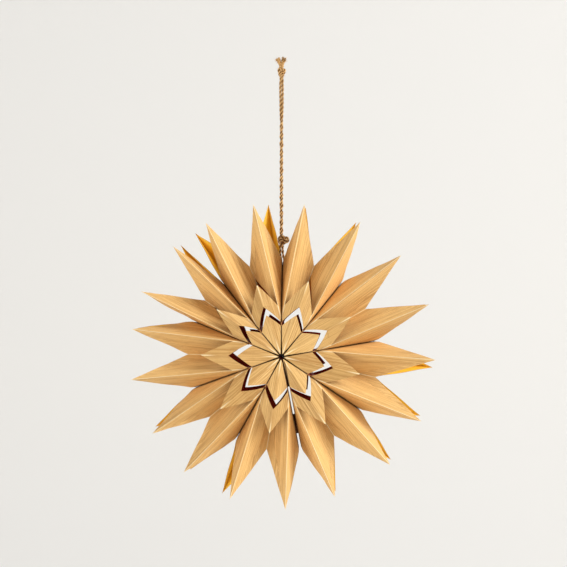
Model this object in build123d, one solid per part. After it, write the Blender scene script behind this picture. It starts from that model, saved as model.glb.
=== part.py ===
from build123d import *
import math
import os

import numpy as np

# Driving sizes in millimetres, with the star's axis along Y and its front toward -Y
half_width = 36.0
paper = 0.4
hub_radius = 2.6
slit_start_radius = 30.4
slit_end_radius = 34.2
slit_to_glue = 2.8
glue_radius = slit_end_radius + slit_to_glue
glue_to_gusset = 13.5
gusset_start_radius = glue_radius + glue_to_gusset
notch_radius = 95.0
petal_tip_radius = 43.5
slit_tip_radius = 52.4
tier_tip_radius = 79.3
fold_start_radius = 76.5
fold_depth = 4.5
tip_depth = 30.0
tier_rise = 4.0

# Angles of the nine glued seams, from +X toward +Z, anticlockwise as seen from the front
seam_angles = [-118.5, -79.2, -34.0, 9.5, 50.3, 90.0, 129.5, 158.0, 199.5]
closing_seam = 1
hanging_seam = 5

# By how many degrees each seam and each valley between two seams ends to one side
seam_bends = [-0.6, 0.0, -0.8, -0.5, 0.7, 0.0, 0.0, 0.8, 0.6]
valley_bends = [-0.8, -0.6, -0.8, -0.5, 0.5, 0.5, 0.8, 0.5, -0.4]

# Each point leans away from its seam by so many degrees and ends at its own radius
# The rows follow the seams: front after the seam, front before it, then the same at the back
front_after = [(8.5, 150.5), (10.0, 148.4), (9.2, 152.1), (10.0, 154.5), (9.4, 154.4),
               (10.6, 153.2), (5.1, 153.6), (11.7, 151.0), (11.3, 149.4)]
front_before = [(11.7, 150.5), (9.4, 151.8), (10.9, 151.5), (10.7, 152.2), (10.0, 154.9),
                (8.5, 152.3), (9.9, 152.4), (2.8, 153.4), (10.7, 151.4)]
back_after = [(4.6, 155.0), (10.0, 149.0), (9.9, 152.4), (10.0, 153.0), (11.0, 153.5),
              (5.8, 153.5), (3.8, 153.2), (11.8, 151.6), (9.9, 150.6)]
back_before = [(10.6, 151.5), (9.4, 150.5), (10.4, 152.6), (14.4, 152.0), (10.0, 152.5),
               (8.5, 151.5), (3.3, 153.0), (2.6, 151.5), (10.7, 150.5)]

# The last seam is held by two pads in a narrow gap
closing_gap = 1.8
closing_slant = 1.3
closing_hub_radius = 8.0
pad_inner = (9.0, 31.0, 19.0)
pad_outer = (60.0, 79.0, 7.5)

# Jute twine
strand_diameter = 2.2
twine_diameter = 4.4
twine_hole_clearance = 0.2
twine_hole_inset = 7.0
twine_hole_radius = notch_radius - twine_hole_inset
twine_hole_length = 12.0
leg_offset = 2.4
leg_gap = 0.1
shoulder_height = 4.0
loop_inside_knot = 1.5
pair_above_knot_centre = 2.0
pair_below_knot_centre = 1.0
knot_diameter = 10.6
knot_height = 9.4
lower_knot_x = 0.3
lower_knot_z = 115.9
top_knot_diameter = 7.0
top_knot_height = 6.2
top_knot_x = -1.1
top_knot_z = 284.8
twine_foot_x = -1.3
end_diameter = 2.0
end_length = 11.0
end_offset = 1.2
end_inside_knot = 1.2
end_leans = (-20.0, 15.0)

bag_count = len(seam_angles)


def radial_point(radius, angle, depth, across=0.0):
    # A point at a radius along a direction, moved sideways by across, at a depth along Y
    turn = math.radians(angle)
    x = radius * math.cos(turn) - across * math.sin(turn)
    z = radius * math.sin(turn) + across * math.cos(turn)
    return np.array([x, depth, z])


def seam_gap(seam):
    # Half the gap between the two walls at a seam
    return closing_gap / 2 if seam == closing_seam else 0.0


def inner_radius(seam):
    # Where a wall starts, farther out at the seam that stands open
    return closing_hub_radius if seam == closing_seam else hub_radius


def side_points(seam, angle, turn, tips):
    # Points of one wall and its two ridges; turn is +1 where the bag lies after the seam
    gap = turn * seam_gap(seam)
    slant = closing_slant if seam == closing_seam else 0.0
    points = {}
    for face, sign in (("front", -1.0), ("back", 1.0)):
        lean, reach = tips[face]
        level = sign * half_width
        across = gap - sign * slant
        tip = radial_point(reach, angle + turn * lean, sign * tip_depth)
        glued = radial_point(glue_radius, angle, level, across)
        share = (gusset_start_radius - glue_radius) / (reach - glue_radius)
        points[face] = {
            "hub": radial_point(inner_radius(seam), angle, level, across),
            "slit": radial_point(slit_start_radius, angle, level, across),
            "root": radial_point(slit_end_radius, angle, level, across),
            "glued": glued,
            "ridge": glued + share * (tip - glued),
            "tip": tip,
        }
    points["notch"] = radial_point(notch_radius, angle + seam_bends[seam], 0.0, gap)
    return points


def cover_triangles(low, high, middle, notches):
    # Petal, second tier, outer gusset and the free panel ends on one face of a bag
    corners = []
    for side, turn, notch in ((low, 1, notches[0]), (high, -1, notches[1])):
        rows = [
            (side["hub"], middle["hub"], side["slit"]),
            (side["slit"], middle["hub"], middle["petal"]),
            (side["root"], middle["slit"], side["glued"]),
            (side["glued"], middle["slit"], side["ridge"]),
            (side["ridge"], middle["slit"], middle["tier"]),
            (side["ridge"], middle["fold"], side["tip"]),
            (side["tip"], middle["fold"], middle["notch"]),
            (side["glued"], side["ridge"], notch),
            (side["ridge"], side["tip"], notch),
        ]
        corners += rows if turn < 0 else [(a, c, b) for a, b, c in rows]
    return corners


def middle_points(angle, sign, bend):
    # Points on the middle line between two seams, whose valley ends a little to one side
    level = sign * half_width
    fold = sign * fold_depth
    crest = sign * (half_width + tier_rise)
    return {
        "hub": radial_point(hub_radius, angle, level),
        "petal": radial_point(petal_tip_radius, angle, crest),
        "slit": radial_point(slit_tip_radius, angle, crest),
        "tier": radial_point(tier_tip_radius, angle, crest),
        "fold": radial_point(fold_start_radius, angle + bend, fold),
        "notch": radial_point(notch_radius, angle + bend, fold),
    }


def wall_triangles(side, turn):
    # The flat panel that is glued to the next bag
    front, back, notch = side["front"], side["back"], side["notch"]
    rows = [
        (front["hub"], front["slit"], back["hub"]),
        (back["hub"], front["slit"], back["slit"]),
        (front["slit"], front["root"], back["slit"]),
        (back["slit"], front["root"], back["root"]),
        (front["root"], front["glued"], back["root"]),
        (back["root"], front["glued"], back["glued"]),
        (front["glued"], notch, back["glued"]),
    ]
    return rows if turn < 0 else [(a, c, b) for a, b, c in rows]


def mesh_of(triangles):
    # Shared corner points and the triangles between them
    points, index, faces = [], {}, []
    for triangle in triangles:
        face = []
        for corner in triangle:
            key = tuple(np.round(corner, 4))
            if key not in index:
                index[key] = len(points)
                points.append(np.array(corner, float))
            face.append(index[key])
        faces.append(face)
    return np.array(points), faces


def inside_points(points, faces):
    # Each corner moved inward so that every sheet it belongs to is one paper thick
    normals = [[] for _ in points]
    for a, b, c in faces:
        normal = np.cross(points[b] - points[a], points[c] - points[a])
        normal /= np.linalg.norm(normal)
        for corner in (a, b, c):
            normals[corner].append(normal)
    moved = []
    for point, rows in zip(points, normals):
        rows = np.array(rows)
        shift = np.linalg.lstsq(rows, np.full(len(rows), -paper), rcond=0.2)[0]
        moved.append(point + shift)
    return np.array(moved)


def sheet_solid(triangles):
    # A folded sheet as one closed solid: outside, inside and the cut edges
    points, faces = mesh_of(triangles)
    inner = inside_points(points, faces)
    edges = {(a, b) for face in faces for a, b in zip(face, face[1:] + face[:1])}
    skins = [[points[i] for i in face] for face in faces]
    skins += [[inner[i] for i in reversed(face)] for face in faces]
    for a, b in sorted(edges):
        if (b, a) not in edges:
            skins.append([points[b], points[a], inner[a]])
            skins.append([points[b], inner[a], inner[b]])
    made = []
    for skin in skins:
        corners = [Vector(*corner) for corner in skin]
        made.append(Face(Wire.make_polygon(corners, close=True)))
    return Solid(Shell(made))


def bag(number):
    # One folded bag between a seam and the next one
    after = number
    before = (number + 1) % bag_count
    start = seam_angles[after]
    end = seam_angles[before] + (360.0 if before == 0 else 0.0)
    tips_low = {"front": front_after[after], "back": back_after[after]}
    tips_high = {"front": front_before[before], "back": back_before[before]}
    low = side_points(after, start, 1.0, tips_low)
    high = side_points(before, end, -1.0, tips_high)
    middle = (start + end) / 2
    bend = valley_bends[number]
    notches = (low["notch"], high["notch"])
    front = cover_triangles(low["front"], high["front"], middle_points(middle, -1.0, bend), notches)
    rear = cover_triangles(low["back"], high["back"], middle_points(middle, 1.0, bend), notches)
    triangles = front + [(a, c, b) for a, b, c in rear]
    triangles += wall_triangles(low, 1) + wall_triangles(high, -1)
    solid = sheet_solid(triangles)
    if hanging_seam in (after, before):
        solid = solid - twine_hole()
    return solid


def twine_hole():
    # The punched hole through both walls of the seam that the star hangs by
    centre = radial_point(twine_hole_radius, seam_angles[hanging_seam], 0.0)
    radius = (strand_diameter + twine_hole_clearance) / 2
    drill = Cylinder(radius, twine_hole_length, rotation=(0, 90, 0))
    return Pos(*centre) * drill


def closure_pad(start, end, half_height):
    # A flat pad that fills the gap of the closing seam, face to face with both walls
    tilt = math.degrees(math.atan2(closing_slant, half_width))
    thickness = closing_gap * math.cos(math.radians(tilt))
    pad = Box(end - start, 2 * half_height, thickness)
    return Rot(0, -seam_angles[closing_seam], 0) * Pos((start + end) / 2, 0, 0) * Rot(-tilt, 0, 0) * pad


def knot(x, z, diameter, height):
    # A rounded knot cut flat where the twine enters and leaves it
    ball = Sphere(diameter / 2)
    slab = Box(2 * diameter, 2 * diameter, height)
    return Pos(x, 0, z) * (ball & slab)


def bend_radii(route):
    # A radius for each corner of a route, from its shorter run and how far it turns
    radii = []
    for before, at, after in zip(route, route[1:], route[2:]):
        first = np.array(at, float) - np.array(before, float)
        second = np.array(after, float) - np.array(at, float)
        shorter = min(np.linalg.norm(first), np.linalg.norm(second))
        cosine = first @ second / (np.linalg.norm(first) * np.linalg.norm(second))
        half_turn = math.acos(max(-1.0, min(1.0, cosine))) / 2
        radii.append(0.45 * shorter / math.tan(half_turn))
    return radii


def tube(route, diameter):
    # A round cord along straight runs joined by arcs
    if len(route) > 2:
        line = FilletPolyline(*route, radius=bend_radii(route))
        print("bend radii", [round(float(radius), 2) for radius in bend_radii(route)])
    else:
        line = Line(*route)
    section = Plane(origin=line @ 0, z_dir=line % 0) * Circle(diameter / 2)
    print("cord length", round(line.length, 1))
    return sweep(section, path=line)


def twine_loop(lower_knot):
    # The doubled strand goes down one side, through the hole and up the other side
    low = lower_knot_z - knot_height / 2
    spread = strand_diameter / 2 + leg_gap / 2
    shoulder = notch_radius + shoulder_height
    bottom = twine_hole_radius + twine_hole_clearance / 2
    route = [
        (twine_foot_x - spread, 0, low + loop_inside_knot),
        (-leg_offset, 0, shoulder),
        (-leg_offset, 0, bottom),
        (leg_offset, 0, bottom),
        (leg_offset, 0, shoulder),
        (twine_foot_x + spread, 0, low + loop_inside_knot),
    ]
    return tube(route, strand_diameter) - lower_knot


def twine_pair(lower_knot, top_knot):
    # Both strands laid together, straight from knot to knot
    foot = (twine_foot_x, 0, lower_knot_z + pair_above_knot_centre)
    head = (top_knot_x, 0, top_knot_z - pair_below_knot_centre)
    route = [foot, head]
    return tube(route, twine_diameter) - lower_knot - top_knot


def twine_end(side, lean, top_knot):
    # A short loose end that leans out of the top knot
    root = Vector(top_knot_x + side * end_offset, 0, top_knot_z + top_knot_height / 2)
    turn = math.radians(lean)
    way = Vector(math.sin(turn), 0, math.cos(turn))
    route = [root - way * end_inside_knot, root + way * end_length]
    return tube(route, end_diameter) - top_knot


def save(name, shape):
    # One file for each piece
    solids = shape.solids()
    export_step(solids[0] if len(solids) == 1 else shape, f"parts/{name}.step")
    print(name, len(solids), round(sum(solid.volume for solid in solids), 1))


os.makedirs("parts", exist_ok=True)

for number in range(bag_count):
    save(f"bag_{number + 1}", bag(number))

save("closure_pad_inner", closure_pad(*pad_inner))
save("closure_pad_outer", closure_pad(*pad_outer))

lower_knot = knot(lower_knot_x, lower_knot_z, knot_diameter, knot_height)
top_knot = knot(top_knot_x, top_knot_z, top_knot_diameter, top_knot_height)
save("twine_lower_knot", lower_knot)
save("twine_top_knot", top_knot)
save("twine_loop", twine_loop(lower_knot))
save("twine_pair", twine_pair(lower_knot, top_knot))
save("twine_end_left", twine_end(-1, end_leans[0], top_knot))
save("twine_end_right", twine_end(1, end_leans[1], top_knot))
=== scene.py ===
import math
from collections import namedtuple
import bpy
import numpy as np
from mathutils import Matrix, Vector


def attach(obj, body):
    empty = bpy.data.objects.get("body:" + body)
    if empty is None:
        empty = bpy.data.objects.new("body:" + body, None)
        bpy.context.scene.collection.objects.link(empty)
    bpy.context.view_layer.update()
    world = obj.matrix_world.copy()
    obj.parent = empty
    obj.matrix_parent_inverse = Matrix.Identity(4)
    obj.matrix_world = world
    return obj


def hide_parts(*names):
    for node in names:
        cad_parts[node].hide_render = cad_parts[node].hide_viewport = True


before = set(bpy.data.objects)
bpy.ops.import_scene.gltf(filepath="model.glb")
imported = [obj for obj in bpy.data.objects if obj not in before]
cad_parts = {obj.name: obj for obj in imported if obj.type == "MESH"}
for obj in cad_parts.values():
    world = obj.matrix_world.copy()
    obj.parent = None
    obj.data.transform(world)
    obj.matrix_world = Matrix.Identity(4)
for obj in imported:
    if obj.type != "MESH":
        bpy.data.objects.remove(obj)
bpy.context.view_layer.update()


# Camera
# The star is seen almost square on from its front, from a little to its right and from a
# height above its hub, so that the back layer shows up and to the right behind the front.
pixel = 0.000987
image_width = 567
middle_right = 2.1
middle_above = 73.3
distance = 2.0
azimuth = math.radians(1.95)
sensor_width = 36.0
star_front = np.array([0.0, -0.036, 0.0])
right = np.array([math.cos(azimuth), math.sin(azimuth), 0.0])
ahead = np.array([-math.sin(azimuth), math.cos(azimuth), 0.0])
upward = np.array([0.0, 0.0, 1.0])
place = star_front - distance * ahead + pixel * (middle_right * right + middle_above * upward)
camera_data = bpy.data.cameras.new("camera")
camera_data.sensor_width = sensor_width
camera_data.lens = sensor_width * distance / (pixel * image_width)
camera_data.clip_end = 50.0
camera = bpy.data.objects.new("camera", camera_data)
bpy.context.scene.collection.objects.link(camera)
camera.location = place
camera.rotation_euler = (math.radians(90.0), 0.0, azimuth)
bpy.context.scene.camera = camera


# Twine from knot to knot
# Two strands of two-ply jute, pulled straight by the star's weight. They turn round one another
# as they leave the lower knot, and lie side by side, with looser plies, below the top knot.
mm = 0.001
strand_radius = 1.2
strand_pitch = 9.0
line_step = 0.35
pair_route = [(-1.3, 0.0, 120.6), (-1.2, 0.0, 200.0), (-1.1, 0.0, 281.7)]
pair_pitch = 17.4
parallel_from = 115.0
parallel_pitch = 150.0
turning_swing = 0.75
parallel_swing = 1.3
spread_length = 30.0
loose_from = 108.0
loosening_length = 20.0
fibre_radius = 0.085


def line_points(route, name):
    """Points in millimetres along a quadratic spline whose control points are the route."""
    curve = bpy.data.curves.new(name + "_line", "CURVE")
    curve.dimensions = "3D"
    spline = curve.splines.new("NURBS")
    spline.points.add(len(route) - 1)
    spline.points.foreach_set("co", np.column_stack([np.array(route) * mm, np.ones(len(route))]).ravel())
    spline.order_u = 3
    spline.use_endpoint_u = True
    spline.resolution_u = 40
    holder = bpy.data.objects.new(name + "_line", curve)
    bpy.context.scene.collection.objects.link(holder)
    bpy.context.view_layer.update()
    mesh = bpy.data.meshes.new_from_object(holder)
    points = np.empty(len(mesh.vertices) * 3)
    mesh.vertices.foreach_get("co", points)
    bpy.data.objects.remove(holder)
    bpy.data.meshes.remove(mesh)
    return points.reshape(-1, 3) / mm


def unit(vectors):
    """The same directions, each of length one."""
    return vectors / np.linalg.norm(vectors, axis=-1, keepdims=True)


def run_along(points):
    """How far along a line each of its points lies."""
    return np.concatenate([[0.0], np.cumsum(np.linalg.norm(np.diff(points, axis=0), axis=1))])


def even_points(points, step):
    """The same line, resampled at an even step along its length."""
    run = run_along(points)
    count = max(8, int(round(run[-1] / step)))
    at = np.linspace(0.0, run[-1], count + 1)
    return np.column_stack([np.interp(at, run, points[:, i]) for i in range(3)]), at


def side_vectors(points, reference):
    """Two unit vectors square to a line at each point: one nearest to the reference
    direction, and one square to both."""
    along = unit(np.gradient(points, axis=0))
    first = unit(reference - (along @ reference)[:, None] * along)
    return first, np.cross(along, first)


def ply_tube(points, at, radius, reference, phase, plies=2, pitch=strand_pitch, facets=18, taper=1.0):
    """A strand around a line. Its radius is the mean radius times 0.88 plus 0.17 of the cosine
    of the ply count times the angle, where the angle turns once in each pitch along the line,
    times a slow unevenness of two sine waves. Each point's ply height goes from 0 to 1."""
    first, second = side_vectors(points, reference)
    angle = np.linspace(0.0, 2 * math.pi, facets, endpoint=False)
    turn = angle[None, :] - 2 * math.pi * at[:, None] / pitch + phase
    uneven = 1.0 + 0.05 * np.sin(at * 0.9 + phase) + 0.04 * np.sin(at * 2.3 + 2 * phase)
    size = radius * (taper * uneven)[:, None] * (0.88 + 0.17 * np.cos(plies * turn))
    cosine, sine = np.cos(angle)[None, :, None], np.sin(angle)[None, :, None]
    ring = cosine * first[:, None, :] + sine * second[:, None, :]
    grid = points[:, None, :] + size[:, :, None] * ring
    return grid, 0.5 + 0.5 * np.cos(plies * turn)


def grid_faces(rows, columns):
    """Four-sided faces of a grid that closes on itself across its columns."""
    i = np.arange(rows - 1)[:, None] * columns
    j = np.arange(columns)[None, :]
    k = (j + 1) % columns
    return np.stack([i + j, i + k, i + columns + k, i + columns + j], axis=-1).reshape(-1, 4)


def jute_piece(name, strands):
    """A mesh object of jute at the origin from strands in millimetres, with their ply height."""
    vertices, quads, caps, height = join_parts(strands)
    mesh = bpy.data.meshes.new(name)
    faces = [tuple(face) for face in quads.tolist()] + [tuple(cap) for cap in caps]
    mesh.from_pydata((vertices * mm).tolist(), [], faces)
    mesh.update()
    ply = mesh.attributes.new("ply", "FLOAT", "POINT")
    ply.data.foreach_set("value", height.astype(np.float32))
    piece = bpy.data.objects.new(name, mesh)
    bpy.context.scene.collection.objects.link(piece)
    mesh.materials.append(jute.material)
    mesh.shade_smooth()
    return piece


def fuzz(points, radius, count, seed, reach=(1.2, 4.2), lift=0.9):
    """Loose fibres: each starts on the strand, leans along it and curls away by the square
    of the way along, on a three-sided tapering grid of five rows."""
    rows, sides = 5, 3
    rng = np.random.default_rng(seed)
    pick = rng.integers(1, len(points) - 1, count)
    along = unit(points[pick] - points[pick - 1])
    out = rng.normal(size=(count, 3))
    out = unit(out - (out * along).sum(1, keepdims=True) * along)
    curl = rng.normal(size=(count, 3)) * 0.5
    length = rng.uniform(*reach, count)[:, None, None]
    way = rng.choice([-1.0, 1.0], count)[:, None]
    t = np.linspace(0.0, 1.0, rows)[None, :, None]
    heading = (along * way * 1.1 + out * lift)[:, None, :]
    bend = 0.35 * t ** 2 * (out + curl)[:, None, :]
    spine = (points[pick] + out * radius * 0.8)[:, None, :] + length * (t * heading + bend)
    beside = np.cross(along, out)
    ring = np.stack([out, -0.5 * out + 0.87 * beside, -0.5 * out - 0.87 * beside], axis=1)
    thick = (fibre_radius * (1.0 - 0.75 * t[..., 0]))[:, :, None, None]
    grid = spine[:, :, None, :] + thick * ring[:, None, :, :]
    vertices = grid.reshape(-1, 3)
    foot = np.arange(count) * rows * sides
    quads = (grid_faces(rows, sides)[None] + foot[:, None, None]).reshape(-1, 4)
    tip = foot + (rows - 1) * sides
    caps = [(f + 2, f + 1, f) for f in foot.tolist()] + [(f, f + 1, f + 2) for f in tip.tolist()]
    return vertices, quads, caps, np.full(len(vertices), 0.8)


def join_parts(parts):
    """One list of vertices, quads, caps and ply heights from several."""
    vertices, quads, caps, heights, start = [], [], [], [], 0
    for v, q, c, h in parts:
        vertices.append(v)
        quads.append(q + start)
        caps += [tuple(i + start for i in cap) for cap in c]
        heights.append(h)
        start += len(v)
    return np.vstack(vertices), np.vstack(quads), caps, np.concatenate(heights)


def capped(grid, height):
    """The vertices, quads, end caps and ply heights of one strand."""
    rows, columns = grid.shape[:2]
    last = (rows - 1) * columns
    caps = [tuple(range(columns - 1, -1, -1)), tuple(range(last, last + columns))]
    return grid.reshape(-1, 3), grid_faces(rows, columns), caps, height.ravel()


class Number:
    """A shader socket that works in Python expressions, each adding a Math node."""

    def __init__(self, shader, socket):
        self.shader = shader
        self.socket = socket

    def math(self, operation, *values):
        return self.shader.node("ShaderNodeMath", {"operation": operation}, *values)

    def __add__(self, other):
        return self.math("ADD", self, other)

    def __radd__(self, other):
        return self.math("ADD", other, self)

    def __sub__(self, other):
        return self.math("SUBTRACT", self, other)

    def __rsub__(self, other):
        return self.math("SUBTRACT", other, self)

    def __mul__(self, other):
        return self.math("MULTIPLY", self, other)

    def __rmul__(self, other):
        return self.math("MULTIPLY", other, self)

    def between(self, low, high):
        """0 at low, 1 at high, eased between the two and held outside."""
        return self.shader.node("ShaderNodeMapRange", {"interpolation_type": "SMOOTHSTEP"},
                                self, low, high, 0.0, 1.0)


class Shader:
    """A material and its nodes; names that start with a capital are its surface's sockets."""

    def __init__(self, name, roughness=0.6, **constants):
        self.material = bpy.data.materials.new(name)
        self.material.use_nodes = True
        self.tree = self.material.node_tree
        self.surface = self.tree.nodes["Principled BSDF"]
        self.surface.inputs["Roughness"].default_value = roughness
        for key, value in constants.items():
            self.surface.inputs[key.replace("_", " ")].default_value = value

    def node(self, kind, settings, *values, output=0):
        """One output of a new node, from its settings and then the numbers, colours or links of
        its sockets in their order, where None leaves a socket as it is."""
        made = self.tree.nodes.new(kind)
        for key, value in settings.items():
            setattr(made, key, value)
        slots = [s for s in made.inputs if s.enabled]
        for slot, value in zip(slots, values):
            if isinstance(value, Number):
                self.tree.links.new(value.socket, slot)
            elif value is not None:
                slot.default_value = value
        outs = [s for s in made.outputs if s.enabled]
        return Number(self, outs[output])

    def attribute(self, name):
        """The single number that the mesh holds under a name."""
        return self.node("ShaderNodeAttribute", {"attribute_name": name}, output=2)

    def noise(self, vector, scale, detail=3.0, roughness=0.5):
        return self.node("ShaderNodeTexNoise", {}, vector, scale, detail, roughness)

    def parts(self, vector):
        first = self.node("ShaderNodeSeparateXYZ", {}, vector)
        return [Number(self, s) for s in first.socket.node.outputs]

    def vector(self, x, y, z):
        return self.node("ShaderNodeCombineXYZ", {}, x, y, z)

    def mix(self, factor, first, second, blend="MIX"):
        return self.node("ShaderNodeMix", {"data_type": "RGBA", "blend_type": blend}, factor, first, second)

    def feed(self, name, value):
        self.tree.links.new(value.socket, self.surface.inputs[name])

    def bump(self, height, strength, depth):
        self.feed("Normal", self.node("ShaderNodeBump", {}, strength, depth, None, height))


def colour(red, green, blue):
    """A linear colour from its 0 to 255 display values."""
    c = np.array([red, green, blue]) / 255.0
    c = np.where(c <= 0.04045, c / 12.92, ((c + 0.055) / 1.055) ** 2.4)
    return (float(c[0]), float(c[1]), float(c[2]), 1.0)


jute = Shader("jute", roughness=0.9, Specular_IOR_Level=0.1)
where = jute.node("ShaderNodeTexCoord", {}, output=3)
fibre = jute.noise(where, 1500.0, 3.0, 0.65)
blotch = jute.noise(where, 210.0, 2.0, 0.5)
groove_shade_mask = jute.attribute("ply")
jute_brown = colour(186, 134, 72)
jute_straw = colour(255, 214, 152)
# Painted shade: the grooves between the plies are coloured dark brown by ply height, for the shade that
# falls in them; the crests keep the lit fibre colour.
jute_groove_shade = colour(74, 40, 14)
jute_stain = colour(140, 92, 46)
lit = jute.mix(fibre.between(0.3, 0.7), jute_brown, jute_straw)
shade = jute.mix(groove_shade_mask.between(0.2, 0.75), jute_groove_shade, lit)
shade = jute.mix(blotch.between(0.45, 0.75) * 0.4, shade, jute_stain)
jute.feed("Base Color", shade)
jute.bump(fibre, 0.6, 0.0003)

pair_line, pair_at = even_points(line_points(pair_route, "twine_pair"), line_step)
side = np.array([0.0, 1.0, 0.0])
first, second = side_vectors(pair_line, side)
past = pair_at - parallel_from
turns = np.minimum(pair_at, parallel_from) / pair_pitch + np.maximum(past, 0.0) / parallel_pitch
spread = np.clip(past / spread_length, 0.0, 1.0)
apart = turning_swing + (parallel_swing - turning_swing) * spread
loose = np.clip((pair_at - loose_from) / loosening_length, 0.0, 1.0)[:, None]
parts = []
for number, start in enumerate((0.0, math.pi)):
    swing = apart + 0.08 * np.sin(pair_at * 0.21 + number)
    lay = 2 * math.pi * turns + start
    turning = np.cos(lay)[:, None] * first + np.sin(lay)[:, None] * second
    centre = pair_line + swing[:, None] * turning
    grid, height = ply_tube(centre, pair_at, strand_radius, side, 1.7 * number)
    # Where the plies loosen, their painted groove shade is evened out towards one middling value.
    parts.append(capped(grid, height * (1.0 - 0.75 * loose) + 0.36 * loose))
    parts.append(fuzz(centre, strand_radius, 260, 11 + number, reach=(0.8, 1.9), lift=0.6))
pair = jute_piece("jute_pair", parts)
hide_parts("twine_pair")
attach(pair, "root")


# Twine loop through the top seam
# The same strand, doubled: it goes down one side of the glued walls, through the punched hole
# and up the other side into the lower knot.
loop_route = [(-2.35, 0.0, 112.7), (-2.35, 0.0, 102.0), (-2.4, 0.0, 95.0), (-2.4, 0.0, 88.1),
              (2.4, 0.0, 88.1), (2.4, 0.0, 94.0), (-0.05, 0.0, 101.0), (-0.05, 0.0, 112.7)]
loop_line, loop_at = even_points(line_points(loop_route, "twine_loop"), line_step)
strand = capped(*ply_tube(loop_line, loop_at, strand_radius, side, 0.6))
fibres = fuzz(loop_line, strand_radius, 60, 21, reach=(0.6, 1.5), lift=0.5)
loop = jute_piece("jute_loop", [strand, fibres])
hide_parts("twine_loop")
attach(loop, "root")


# Knots
# Each is an overhand knot pulled tight in both strands at once, with one lobe standing out at
# its upper right.
def knot_strands(centre, width, height, depth, turn, radius, seed, shade_tones):
    """Two strands side by side along a three-lobed knot: its line goes twice round while it
    swings in and out three times, as the sum of one circle and twice another. The two shade
    values are the ply heights that its grooves and crests are coloured as, for the painted shade
    of the grooves; low values paint the whole knot darker as painted shade."""
    t = np.linspace(0.0, 2 * math.pi, 241)
    across = np.sin(t + turn) + 2 * np.sin(2 * t - turn)
    up = np.cos(t + turn) - 2 * np.cos(2 * t - turn)
    reach = 3.0 + radius / (width / 6.0)
    line = np.column_stack([across * (width / 2 - radius) / reach, -depth * np.sin(3 * t),
                            up * (height / 2 - radius) / reach]) + centre
    beside = unit(np.cross(np.gradient(line, axis=0), side))
    made = []
    for number, way in enumerate((-1.0, 1.0)):
        path = line + way * radius * 0.95 * beside
        grid, ply = ply_tube(path, run_along(line), radius, side, number + seed, pitch=8.0, facets=16)
        made.append(capped(grid, shade_tones[0] + (shade_tones[1] - shade_tones[0]) * ply))
        made.append(fuzz(path, radius, 60, seed + number, reach=(0.8, 2.2)))
    return made


# The lower knot takes low shade values: it is painted darker all over, as painted shade where it hangs in
# the V between two points of the star.
lower_knot = jute_piece("jute_lower_knot", knot_strands(
    (0.5, 0.0, 116.0), width=12.4, height=10.4, depth=2.0, turn=0.45,
    radius=1.2, seed=31, shade_tones=(0.24, 0.62)))
top_knot = jute_piece("jute_top_knot", knot_strands(
    (-1.1, 0.0, 284.8), width=8.4, height=12.0, depth=1.5, turn=0.2,
    radius=1.0, seed=41, shade_tones=(0.33, 0.85)))
for piece, node in ((lower_knot, "twine_lower_knot"), (top_knot, "twine_top_knot")):
    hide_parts(node)
    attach(piece, "root")


# Frayed ends
# Above the top knot the two strands are cut short; their plies open and end in loose fibres.
def frayed_end(root, tip, bend, seed, dark_from):
    """Three plies along a line that bends sideways by the square of the way along less the way,
    each turning round it and opening by the cube of the way, with fibres fanned out at the
    tip. The plies are darker from one share of the way on."""
    t = np.linspace(0.0, 1.0, 33)
    line = root + t[:, None] * (tip - root) + (t ** 2 - t)[:, None] * bend
    at = t * np.linalg.norm(tip - root)
    first, second = side_vectors(line, side)
    made = []
    for ply in range(3):
        angle = 2 * math.pi * (ply / 3.0 + at / 7.0) + seed
        open_out = 0.7 + 1.1 * t ** 3
        path = line + open_out[:, None] * (np.cos(angle)[:, None] * first + np.sin(angle)[:, None] * second)
        swollen = 1.0 + 0.15 * t ** 2
        grid, height = ply_tube(path, at, 0.85, side, ply + seed, pitch=4.0, facets=12, taper=swollen)
        # The ply heights set the painted groove shade; from dark_from on the plies are darker all round.
        tone = np.where(t > dark_from, 0.25, 0.5)[:, None] * (0.7 + 0.6 * height) + 0.15
        made.append(capped(grid, tone))
        made.append(fuzz(path[20:], 0.6, 90, seed + ply, reach=(0.9, 2.2), lift=0.6))
        made.append(fuzz(path, 0.6, 16, seed + 7 + ply, reach=(0.8, 2.0)))
    return made


knot_top = np.array([-1.1, 0.0, 287.6])
left_end = jute_piece("jute_end_left", frayed_end(
    knot_top + (-0.8, 0.3, 0.0), knot_top + (-4.0, 0.2, 10.6), np.array([-3.0, 0.0, 0.0]), 51, 1.0))
right_end = jute_piece("jute_end_right", frayed_end(
    knot_top + (0.8, -0.3, 0.0), knot_top + (3.0, -0.2, 11.0), np.array([3.4, 0.0, 0.0]), 61, 0.7))
for piece, node in ((left_end, "twine_end_left"), (right_end, "twine_end_right")):
    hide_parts(node)
    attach(piece, "root")


# Folded bags
# Nine gusseted bags of wood-grain paper, each one sheet folded in half panels, cut with chevrons
# into a petal, a second tier and two points on each face, and glued wall to wall at nine seams.
half_width = 36.0
paper = 0.4
hub_radius = 2.6
slit_start_radius = 30.4
slit_end_radius = 34.2
glue_radius = 37.0
gusset_start_radius = 50.5
notch_radius = 95.0
petal_tip_radius = 43.5
slit_tip_radius = 52.4
tier_tip_radius = 79.3
fold_start_radius = 76.5
fold_depth = 4.5
tip_depth = 30.0
tier_rise = 4.0
seam_angles = [-118.5, -79.2, -34.0, 9.5, 50.3, 90.0, 129.5, 158.0, 199.5]
closing_seam = 1
seam_bends = [-0.6, 0.0, -0.8, -0.5, 0.7, 0.0, 0.0, 0.8, 0.6]
valley_bends = [-0.8, -0.6, -0.8, -0.5, 0.5, 0.5, 0.8, 0.5, -0.4]

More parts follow.
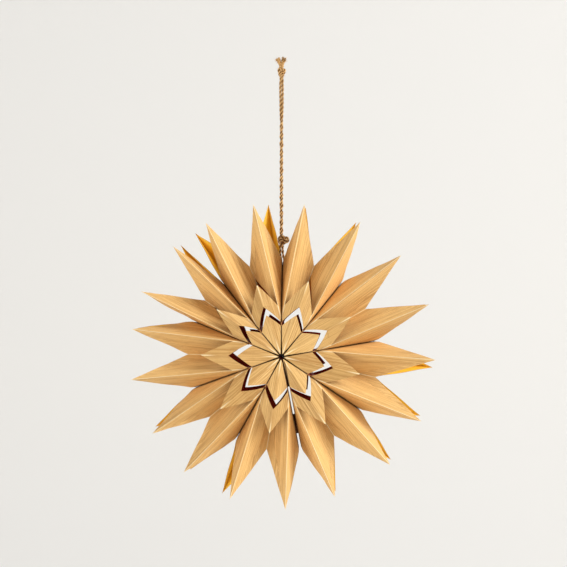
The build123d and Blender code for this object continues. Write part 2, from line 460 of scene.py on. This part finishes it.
# How far each point leans from its seam, in degrees, and how far out it reaches
front_after = [(8.5, 150.5), (10.0, 148.4), (9.2, 152.1), (10.0, 154.5), (9.4, 154.4),
               (10.6, 153.2), (5.1, 153.6), (11.7, 151.0), (11.3, 149.4)]
front_before = [(11.7, 150.5), (9.4, 151.8), (10.9, 151.5), (10.7, 152.2), (10.0, 154.9),
                (8.5, 152.3), (9.9, 152.4), (2.8, 153.4), (10.7, 151.4)]
back_after = [(4.6, 155.0), (10.0, 149.0), (9.9, 152.4), (10.0, 153.0), (11.0, 153.5),
              (5.8, 153.5), (3.8, 153.2), (11.8, 151.6), (9.9, 150.6)]
back_before = [(10.6, 151.5), (9.4, 150.5), (10.4, 152.6), (14.4, 152.0), (10.0, 152.5),
               (8.5, 151.5), (3.3, 153.0), (2.6, 151.5), (10.7, 150.5)]
closing_gap = 1.8
closing_slant = 1.3
closing_hub_radius = 8.0

# What the solids leave out: the rounded edges at a seam, the tiers trimmed short or lifted by
# hand, given by bag and half, the bow of each free edge, and the slow swell of each sheet
seam_groove = 0.75
hub_back_radius = 0.9
trimmed_tiers = {0: (76.3, 0.0), 5: (74.8, -1.0)}
lifted_halves = {(4, "low"): 8.5, (5, "low"): 8.5, (6, "high"): 7.5}
petal_bow = 0.4
slit_bow = -0.7
tier_bow = 0.6
gusset_bow = -0.1
end_bow = 0.6
swell_height = 0.75
swell_lengths = (62.0, 41.0, 27.0)
swell_fade = 9.0
panel_steps = 20

# How far out from the axis the looks of the paper change, from none to all of a change
hub_rim_reach = 6.0
# The hub hole and the bands by the seams are painted shade; the inside turns to a painted glow towards the
# points.
hub_hole_shade_reach = (2.8, 3.3)
seam_shade_reach = (36.0, 42.0)
steep_reach = (44.0, 52.0)
glow_reach = (62.0, 104.0)

Panel = namedtuple("Panel", "kind a b c grain bow folds outward seam turn")


def radial_point(radius, angle, depth, across=0.0):
    """A point at a radius along a direction in the star's plane, moved square to it by
    across, at a depth along Y."""
    turn = math.radians(angle)
    return np.array([radius * math.cos(turn) - across * math.sin(turn), depth,
                     radius * math.sin(turn) + across * math.cos(turn)])


def side_points(seam, angle, turn, tips):
    """Corner points of a wall and of the ridges at its front and back."""
    gap = turn * (closing_gap / 2 if seam == closing_seam else 0.0)
    slant = closing_slant if seam == closing_seam else 0.0
    hubs = {"front": hub_radius, "back": hub_back_radius}
    if seam == closing_seam:
        hubs = {"front": closing_hub_radius, "back": closing_hub_radius}
    points = {"notch": radial_point(notch_radius, angle + seam_bends[seam], 0.0, gap), "angle": angle}
    for face, sign in (("front", -1.0), ("back", 1.0)):
        lean, reach = tips[face]
        level = sign * half_width
        across = gap - sign * slant
        tip = radial_point(reach, angle + turn * lean, sign * tip_depth)
        glued = radial_point(glue_radius, angle, level, across)
        share = (gusset_start_radius - glue_radius) / (reach - glue_radius)
        points[face] = {"hub": radial_point(hubs[face], angle, level, across),
                        "slit": radial_point(slit_start_radius, angle, level, across),
                        "root": radial_point(slit_end_radius, angle, level, across),
                        "glued": glued, "ridge": glued + share * (tip - glued), "tip": tip}
    return points


def middle_points(angle, sign, bend, tier_reach, tier_turn):
    """Corner points on the middle line of one face of a bag, whose valley ends a little to
    one side. The second tier may end short of its usual radius, and turned."""
    level, fold, crest = sign * half_width, sign * fold_depth, sign * (half_width + tier_rise)
    fold_start = fold_start_radius + tier_reach - tier_tip_radius
    return {"hub": radial_point(hub_radius if sign < 0 else hub_back_radius, angle, level),
            "petal": radial_point(petal_tip_radius, angle, crest),
            "slit": radial_point(slit_tip_radius, angle, crest),
            "tier": radial_point(tier_reach, angle + tier_turn, crest),
            "fold": radial_point(fold_start, angle + bend + tier_turn, fold),
            "notch": radial_point(notch_radius, angle + bend, fold)}


def panels(number):
    """Every flat panel of a bag: its kind, three corners with the free edge from a to b, the
    direction of its grain, how far that edge bows, the two fold lines beside it, the way it
    faces, the line of its seam, and 1 after the bag's first seam or -1 before its second."""
    following = (number + 1) % len(seam_angles)
    start = seam_angles[number]
    end = seam_angles[following] + (360.0 if following == 0 else 0.0)
    after = {"front": front_after[number], "back": back_after[number]}
    before = {"front": front_before[following], "back": back_before[following]}
    low = side_points(number, start, 1.0, after)
    high = side_points(following, end, -1.0, before)
    rows = []
    for sign, face in ((-1.0, "front"), (1.0, "back")):
        whole = (tier_tip_radius, 0.0)
        tier_reach, tier_turn = trimmed_tiers.get(number, whole) if face == "front" else whole
        middle = middle_points((start + end) / 2, sign, valley_bends[number], tier_reach, tier_turn)
        along = middle["tier"] - middle["slit"]
        crease = (middle["hub"], middle["tier"])
        for side, turn, half in ((low, 1.0, "low"), (high, -1.0, "high")):
            at, notch = side[face], side["notch"]
            away = lifted_halves.get((number, half), 0.0) if face == "front" else 0.0
            fold = middle["fold"] + radial_point(away, (start + end) / 2, 0.0)
            seam = (at["hub"], at["glued"])
            ridge = (at["glued"], at["tip"])
            root = (at["glued"], notch)
            valley = (middle["fold"], middle["notch"])
            lean = ridge[1] - ridge[0]
            radial = seam[1] - seam[0]
            face_out = np.array([0.0, sign, 0.0])
            side_out = radial_point(1.0, side["angle"] - turn * 90.0, 0.0)
            covers = (
                ("hub", at["slit"], at["hub"], middle["hub"], radial, 0.0, (seam, crease)),
                ("petal", at["slit"], middle["petal"], middle["hub"], along, petal_bow, (seam, crease)),
                ("tier", at["root"], middle["slit"], at["glued"], along, slit_bow, (seam, ridge)),
                ("tier", at["glued"], middle["slit"], at["ridge"], along, 0.0, (seam, ridge)),
                ("tier", at["ridge"], middle["tier"], middle["slit"], along, tier_bow, (ridge, crease)))
            gussets = (
                ("gusset", at["ridge"], fold, at["tip"], lean, gusset_bow, (ridge, valley)),
                ("gusset", at["tip"], middle["notch"], fold, lean, gusset_bow, (ridge, valley)))
            ends = (
                ("end", at["glued"], at["ridge"], notch, lean, 0.0, (ridge, root)),
                ("end", at["tip"], notch, at["ridge"], lean, end_bow, (ridge, root)))
            rows += [Panel(*row, face_out, seam, turn) for row in covers]
            rows += [Panel(*row, face_out, root, turn) for row in gussets]
            rows += [Panel(*row, side_out, root, turn) for row in ends]
    for side, turn in ((low, 1.0), (high, -1.0)):
        front, back, notch = side["front"], side["back"], side["notch"]
        radial = notch - (front["hub"] + back["hub"]) / 2
        side_out = radial_point(1.0, side["angle"] - turn * 90.0, 0.0)
        edges = ((front["hub"], front["glued"]), (back["hub"], back["glued"]))
        wall = (
            (front["hub"], front["slit"], back["hub"]),
            (back["hub"], front["slit"], back["slit"]),
            (front["slit"], front["root"], back["slit"]),
            (back["slit"], front["root"], back["root"]),
            (front["root"], front["glued"], back["root"]),
            (back["root"], front["glued"], back["glued"]),
            (front["glued"], notch, back["glued"]))
        rows += [Panel("wall", a, b, c, radial, 0.0, edges, side_out, edges[0], turn) for a, b, c in wall]
    return rows


def line_distance(points, line):
    """Distance of every point from a straight line through two points."""
    way = unit(line[1] - line[0])
    rest = points - line[0]
    return np.linalg.norm(rest - (rest @ way)[..., None] * way, axis=-1)


def swell(points, seed):
    """A slow unevenness of the sheet: the sum of three sine waves over the place."""
    rng = np.random.default_rng(seed)
    total = 0.0
    for length in swell_lengths:
        way = unit(rng.normal(size=3))
        phase = rng.uniform(0, 6.28)
        total = total + np.sin(2 * math.pi * (points @ way) / length + phase) * length / swell_lengths[0]
    return total / 2.0


def triangle_grid(n):
    """Weights of the points of a triangle cut into n rows, and its small faces."""
    i, j = np.meshgrid(np.arange(n + 1), np.arange(n + 1), indexing="ij")
    keep = i + j <= n
    index = np.full(keep.shape, -1)
    index[keep] = np.arange(keep.sum())
    weights = np.column_stack([i[keep], j[keep], (n - i - j)[keep]]) / n
    here, right_of, above, across = index[:-1, :-1], index[1:, :-1], index[:-1, 1:], index[1:, 1:]
    up = np.stack([here, right_of, above], axis=-1)[keep[1:, :-1] & keep[:-1, 1:]]
    down = np.stack([right_of, across, above], axis=-1)[keep[1:, 1:]]
    return weights, np.vstack([up, down])


def panel_frames(rows):
    """The corners of every panel, its outer unit normal, whether its corners run the wrong way
    round for that, and the unit direction in which its free edge bows."""
    corners = np.array([(row.a, row.b, row.c) for row in rows])
    a, b, c = corners[:, 0], corners[:, 1], corners[:, 2]
    normal = unit(np.cross(b - a, c - a))
    flip = (normal * np.array([row.outward for row in rows])).sum(1) < 0
    normal = np.where(flip[:, None], -normal, normal)
    edge = unit(b - a)
    bowing = (a + b) / 2 - c
    bowing = unit(bowing - (bowing * edge).sum(1, keepdims=True) * edge)
    return corners, normal, flip, bowing


def panel_points(rows, weights, corners, normal, bowing, seed):
    """Each point is the weighted sum of its panel's corners, plus 4 times the two weights of
    the free edge times the bow, plus a swell square to the panel that fades to nothing at its
    folds. With them come the distances from the folds, the seam and the star's axis."""
    grid = np.einsum("mk,tkc->tmc", weights, corners)
    bows = np.array([row.bow for row in rows])[:, None] * bowing
    grid = grid + 4.0 * (weights[:, 0] * weights[:, 1])[None, :, None] * bows[:, None, :]
    pairs = list(zip(grid, rows))
    seam = np.stack([np.minimum(line_distance(points, row.seam), swell_fade) for points, row in pairs])
    crease = np.stack([np.minimum(line_distance(points, row.folds[0]), line_distance(points, row.folds[1]))
                       for points, row in pairs])
    reach = np.hypot(grid[..., 0], grid[..., 2])
    free = np.array([0.0 if row.kind in ("wall", "hub") else 1.0 for row in rows])
    fade = np.clip(crease / swell_fade, 0.0, 1.0) ** 2 * free[:, None]
    grid = grid + (swell_height * fade * swell(grid, seed))[..., None] * normal[:, None, :]
    return grid, {"crease": crease, "seam": seam, "reach": reach}


def grain_places(rows, grid, normal, shift):
    """Where each point lies on the flat sheet, across the grain and along it."""
    grain = unit(np.array([row.grain for row in rows]))
    grain = unit(grain - (grain * normal).sum(1, keepdims=True) * normal)
    across = np.cross(normal, grain)
    return np.stack([np.einsum("tmc,tc->tm", grid, across) + shift[0],
                     np.einsum("tmc,tc->tm", grid, grain) + shift[1]], axis=-1)


def panel_tints_and_shade(rows, seed):
    """How dark each panel is painted against the sheet: a mean for its kind, which is painted
    light and shade, and a draw for its half of one face of the bag, which is partly random tone
    and partly painted light and shade between the halves. The hub, petal and tier face the front
    squarely, where the light falls fully, and are painted darkest."""
    kinds = {"wall": 0, "hub": 1, "petal": 1, "tier": 2, "gusset": 3, "end": 4}
    kind_shade = np.array([0.0, -0.75, -1.1, 0.0, 0.1])
    kind = np.array([kinds[row.kind] for row in rows])
    half = np.array([int(row.outward[1] > 0.5) * 2 + int(row.turn > 0) for row in rows])
    draw = np.random.default_rng(seed).uniform(-1.0, 1.0, (4, 5))
    return kind_shade[kind] + 0.45 * draw[half, kind]


def inward_shifts(owner, normal, total):
    """How far each point moves inward so that every panel it belongs to is one paper thick: the
    least move whose part along each of those panels' normals is the thickness."""
    panels_of = np.repeat(np.arange(len(owner)), owner.shape[1])
    pairs = np.unique(np.column_stack([owner.ravel(), panels_of]), axis=0)
    point, panel = pairs[:, 0], normal[pairs[:, 1]]
    matrix = np.zeros((total, 3, 3))
    wanted = np.zeros((total, 3))
    np.add.at(matrix, point, panel[:, :, None] * panel[:, None, :])
    np.add.at(wanted, point, -paper * panel)
    return np.einsum("vij,vj->vi", np.linalg.pinv(matrix, rcond=0.04, hermitian=True), wanted)


def rim_faces(faces, uvs, total):
    """Two triangles between the outside and the inside along every edge that has one face."""
    edges = np.concatenate([faces[:, [0, 1]], faces[:, [1, 2]], faces[:, [2, 0]]])
    edge_uvs = np.concatenate([uvs[:, [0, 1]], uvs[:, [1, 2]], uvs[:, [2, 0]]])
    forward = edges[:, 0].astype(np.int64) * total + edges[:, 1]
    backward = edges[:, 1].astype(np.int64) * total + edges[:, 0]
    border = ~np.isin(forward, backward)
    a, b = edges[border].T
    ua, ub = edge_uvs[border, 0], edge_uvs[border, 1]
    rim = np.concatenate([np.column_stack([b, a, a + total]), np.column_stack([b, a + total, b + total])])
    return rim, np.concatenate([np.stack([ub, ua, ua], 1), np.stack([ub, ua, ub], 1)])


def bag_piece(number, name):
    """One sheet: each panel is a grid of small triangles, joined where panels share points. The
    inside is the same grid one paper deeper, and the cut edges are closed between the two."""
    rows = panels(number)
    weights, small = triangle_grid(panel_steps)
    corners, normal, flip, bowing = panel_frames(rows)
    grid, lines = panel_points(rows, weights, corners, normal, bowing, number * 7 + 3)
    flat = grain_places(rows, grid, normal, np.random.default_rng(number + 40).uniform(0, 400, 2))
    tint_and_shade = panel_tints_and_shade(rows, number + 90)

    places = np.round(grid.reshape(-1, 3), 4)
    _, kept, owner = np.unique(places, axis=0, return_index=True, return_inverse=True)
    owner = owner.reshape(grid.shape[:2])
    outer = grid.reshape(-1, 3)[kept]
    total = len(outer)
    inward = inward_shifts(owner, normal, total)
    near_hub = np.hypot(outer[:, 0], outer[:, 2]) < hub_rim_reach

    walls = np.array([row.kind == "wall" for row in rows])
    on_wall, on_cover = np.zeros(total, bool), np.zeros(total, bool)
    on_wall[owner[walls]] = True
    on_cover[owner[~walls]] = True
    wall_out = np.zeros((total, 3))
    for panel in np.flatnonzero(walls):
        wall_out[owner[panel]] = normal[panel]
    outer = outer - np.where((on_wall & on_cover)[:, None], wall_out * seam_groove, 0.0)

    turned = flip[:, None, None]
    faces = np.where(turned, owner[:, small][..., ::-1], owner[:, small]).reshape(-1, 3)
    uvs = np.where(turned[..., None], flat[:, small][:, :, ::-1], flat[:, small]).reshape(-1, 3, 2)
    rim, rim_uvs = rim_faces(faces, uvs, total)
    every = np.concatenate([faces, faces[:, ::-1] + total, rim])
    every_uv = np.concatenate([uvs, uvs[:, ::-1], rim_uvs])
    # Cut edges near the hub take the inside material, and with it the painted shade at the hub.
    rim_slots = np.where(near_hub[rim[:, 0] % total], 1, 2)
    slots = np.concatenate([np.zeros(len(faces)), np.ones(len(faces)), rim_slots]).astype(np.int32)
    tints_and_shade = np.concatenate([np.repeat(tint_and_shade, len(small)), np.repeat(tint_and_shade, len(small)), np.zeros(len(rim))])

    mesh = bpy.data.meshes.new(name)
    mesh.vertices.add(2 * total)
    mesh.vertices.foreach_set("co", (np.vstack([outer, outer + inward]) * mm).ravel())
    mesh.loops.add(3 * len(every))
    mesh.loops.foreach_set("vertex_index", every.ravel().astype(np.int32))
    mesh.polygons.add(len(every))
    mesh.polygons.foreach_set("loop_start", np.arange(0, 3 * len(every), 3, dtype=np.int32))
    mesh.polygons.foreach_set("material_index", slots)
    mesh.update(calc_edges=True)
    mesh.uv_layers.new(name="grain").data.foreach_set("uv", every_uv.ravel())
    for line, values in lines.items():
        both = np.tile(values.reshape(-1)[kept], 2).astype(np.float32)
        mesh.attributes.new(line, "FLOAT", "POINT").data.foreach_set("value", both)
    mesh.attributes.new("tint_and_shade", "FLOAT", "FACE").data.foreach_set("value", tints_and_shade.astype(np.float32))
    for material in (outside_paper, inside_paper_lit_and_shaded, cut_edge):
        mesh.materials.append(material)
    mesh.shade_smooth()
    mesh.set_sharp_from_angle(angle=math.radians(9.0))
    piece = bpy.data.objects.new(name, mesh)
    bpy.context.scene.collection.objects.link(piece)
    return piece


def grain_paper(name, light, middle, dark, line, shade, joint_shade_colour, deep_shade=None):
    """Paper with fine straight wood grain: noise stretched 20 to 90 times along the grain, in
    three widths, goes between a dark and a light tone, with short dark pores on top. A panel's
    own value makes it paler or multiplies it darker, as painted light and shade and partly as
    random tone. The folds show as a paler line, partly wear of the print and partly a painted
    highlight. Beyond the inner sheet the seams show a band of painted shade and a dark line of
    painted shade for the gap between two bags, which widens where the panels are steep. With
    a colour for the dark inside, the sheet goes from that painted shade at the hub to its own
    colour at the points, painted bright where light comes through it. The paper round the hole
    in the middle of the hub is black, as painted shade inside the hole."""
    paper_shader = Shader(name, roughness=0.65, Specular_IOR_Level=0.3)
    uv = paper_shader.node("ShaderNodeUVMap", {"uv_map": "grain"})
    u, v, _ = paper_shader.parts(uv)
    wide = paper_shader.noise(paper_shader.vector(u * 0.14, v * 0.006, 0.0), 1.0, 2.0, 0.5)
    streak = paper_shader.noise(paper_shader.vector(u * 1.1, v * 0.012, 3.0), 1.0, 3.0, 0.7)
    fine = paper_shader.noise(paper_shader.vector(u * 3.0, v * 0.04, 7.0), 1.0, 3.0, 0.7)
    tone = wide * 0.12 + streak * 0.5 + fine * 0.38
    body = paper_shader.mix(tone.between(0.41, 0.585), dark, light)
    body = paper_shader.mix(wide.between(0.35, 0.65) * 0.4, body, middle)
    pores = paper_shader.noise(paper_shader.vector(u * 1.5, v * 0.16, 11.0), 1.0, 2.0, 0.6)
    body = paper_shader.mix(pores.between(0.56, 0.72) * 0.35, body, dark)
    # Painted light and shade: each panel's value, set by the way it faces and partly at random, makes it
    # paler or multiplies it darker.
    tint_and_shade = paper_shader.attribute("tint_and_shade")
    body = paper_shader.mix(tint_and_shade.between(0.0, 1.6) * 0.9, body, light)
    body = paper_shader.mix((tint_and_shade * -1.0).between(0.0, 1.6), body, (0.75, 0.70, 0.62, 1.0), "MULTIPLY")
    crease = paper_shader.attribute("crease")
    seam = paper_shader.attribute("seam")
    # The folds are painted paler: partly wear of the print along the fold, partly a painted highlight where
    # the rounded crease catches the light.
    worn_and_highlight = (1.0 - crease.between(0.2, 0.9)) * (0.6 + fine.between(0.3, 0.6) * 0.4) * seam.between(0.8, 1.8)
    body = paper_shader.mix(worn_and_highlight, body, line)
    reach = paper_shader.attribute("reach")
    # Painted shade: a wide darker band beside each seam beyond the inner sheet, where the panels fold down
    # into the valley between two bags.
    seam_shade = (1.0 - seam.between(0.6, 4.0)) * reach.between(*seam_shade_reach)
    body = paper_shader.mix(seam_shade * 0.4, body, shade)
    steep = reach.between(*steep_reach)
    # Painted shade: a dark line along each seam for the narrow gap where two bags meet, wider where the
    # panels are seen steeply.
    joint_shade = 1.0 - seam.between(steep * 0.6 + 0.3, steep * 0.9 + 0.9)
    body = paper_shader.mix(joint_shade * 0.92, body, joint_shade_colour)
    # Painted shade and light: the sheet goes from a dark painted shade at the hub to its own colour at the
    # points, painted bright for the light that comes through there.
    if deep_shade:
        body = paper_shader.mix(reach.between(*glow_reach), deep_shade, body)
    # Painted shade: the paper round the hole in the middle of the hub is black, for the shade inside the
    # hole.
    body = paper_shader.mix(1.0 - reach.between(*hub_hole_shade_reach), body, (0.0, 0.0, 0.0, 1.0))
    paper_shader.feed("Base Color", body)
    paper_shader.bump(fine + streak, 0.12, 0.0004)
    return paper_shader.material


outside_paper = grain_paper(
    "wood_grain_paper", light=colour(250, 209, 140), middle=colour(233, 185, 112),
    dark=colour(197, 146, 82), line=colour(255, 236, 190), shade=colour(128, 80, 40),
    joint_shade_colour=colour(50, 20, 6))
# The inside is a painted glow: bright orange-yellow for light through the paper and bounced inside the
# points, going to a dark maroon painted shade at the hub.
inside_paper_lit_and_shaded = grain_paper(
    "paper_inside_glow_and_shade", light=colour(255, 208, 66), middle=colour(252, 198, 60),
    dark=colour(244, 182, 50), line=colour(255, 214, 90), shade=colour(150, 90, 24),
    joint_shade_colour=colour(60, 22, 6), deep_shade=colour(152, 40, 8))
cut_edge = Shader("paper_cut_edge", roughness=0.8, Base_Color=colour(176, 122, 66)).material

for number in range(len(seam_angles)):
    piece = bag_piece(number, f"paper_bag_{number + 1}")
    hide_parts(f"bag_{number + 1}")
    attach(piece, "root")


# Closure pads
# Two dark flat pads hold the last two walls together; they keep their modelled shape.
pad = Shader("pad_foam", roughness=0.8)
where = pad.node("ShaderNodeTexCoord", {}, output=3)
grains = pad.noise(where, 900.0, 2.0, 0.6)
pad.feed("Base Color", pad.mix(grains, colour(70, 30, 8), colour(104, 52, 18)))
pad.bump(grains, 0.4, 0.0003)
for node in ("closure_pad_inner", "closure_pad_outer"):
    for place_of in bpy.data.objects[node].material_slots:
        place_of.material = pad.material


# Floor, backdrop and light
# A pale paper sweep far behind and below the hanging star, and large soft lamps: the key from
# the upper right, a weaker one from the left, and an even pale surround.
sweep_half_width = 4.0
floor_length = 4.4
floor_back = 1.2
floor_height = -0.9
corner_radius = 0.8
wall_height = 3.4
sweep_steps = 40

sweep_data = bpy.data.meshes.new("sweep")
run = np.linspace(0.0, 1.0, sweep_steps + 1)
bend = np.clip((run - 0.4) / 0.2, 0.0, 1.0) * math.pi / 2
depth = floor_back + np.minimum(run / 0.4 - 1.0, 0.0) * floor_length + corner_radius * np.sin(bend)
height = floor_height + corner_radius * (1.0 - np.cos(bend))
height = height + np.maximum(run - 0.6, 0.0) / 0.4 * wall_height
sides = (-sweep_half_width, sweep_half_width)
sweep_points = [(x, float(y), float(z)) for x in sides for y, z in zip(depth, height)]
sweep_faces = [(i, i + sweep_steps + 1, i + sweep_steps + 2, i + 1) for i in range(sweep_steps)]
sweep_data.from_pydata(sweep_points, [], sweep_faces)
sweep_data.update()
sweep_data.shade_smooth()
sweep = bpy.data.objects.new("sweep", sweep_data)
bpy.context.scene.collection.objects.link(sweep)
sweep_data.materials.append(Shader("backdrop", roughness=0.9, Base_Color=colour(238, 236, 232)).material)


def lamp(name, place, size, power):
    """A square soft lamp that faces the middle of the star."""
    data = bpy.data.lights.new(name, "AREA")
    data.energy = power
    data.size = size
    made = bpy.data.objects.new(name, data)
    bpy.context.scene.collection.objects.link(made)
    made.location = place
    made.rotation_euler = (-Vector(place)).to_track_quat("-Z", "Y").to_euler()


lamp("key", (2.5, -1.3, 1.4), size=1.5, power=92.0)
lamp("fill", (-2.2, -1.5, -0.3), size=1.8, power=36.0)
world = bpy.data.worlds.new("surround")
world.use_nodes = True
world.node_tree.nodes["Background"].inputs[0].default_value = colour(248, 248, 248)
world.node_tree.nodes["Background"].inputs[1].default_value = 0.45
bpy.context.scene.world = world
bpy.context.scene.view_settings.view_transform = "Standard"
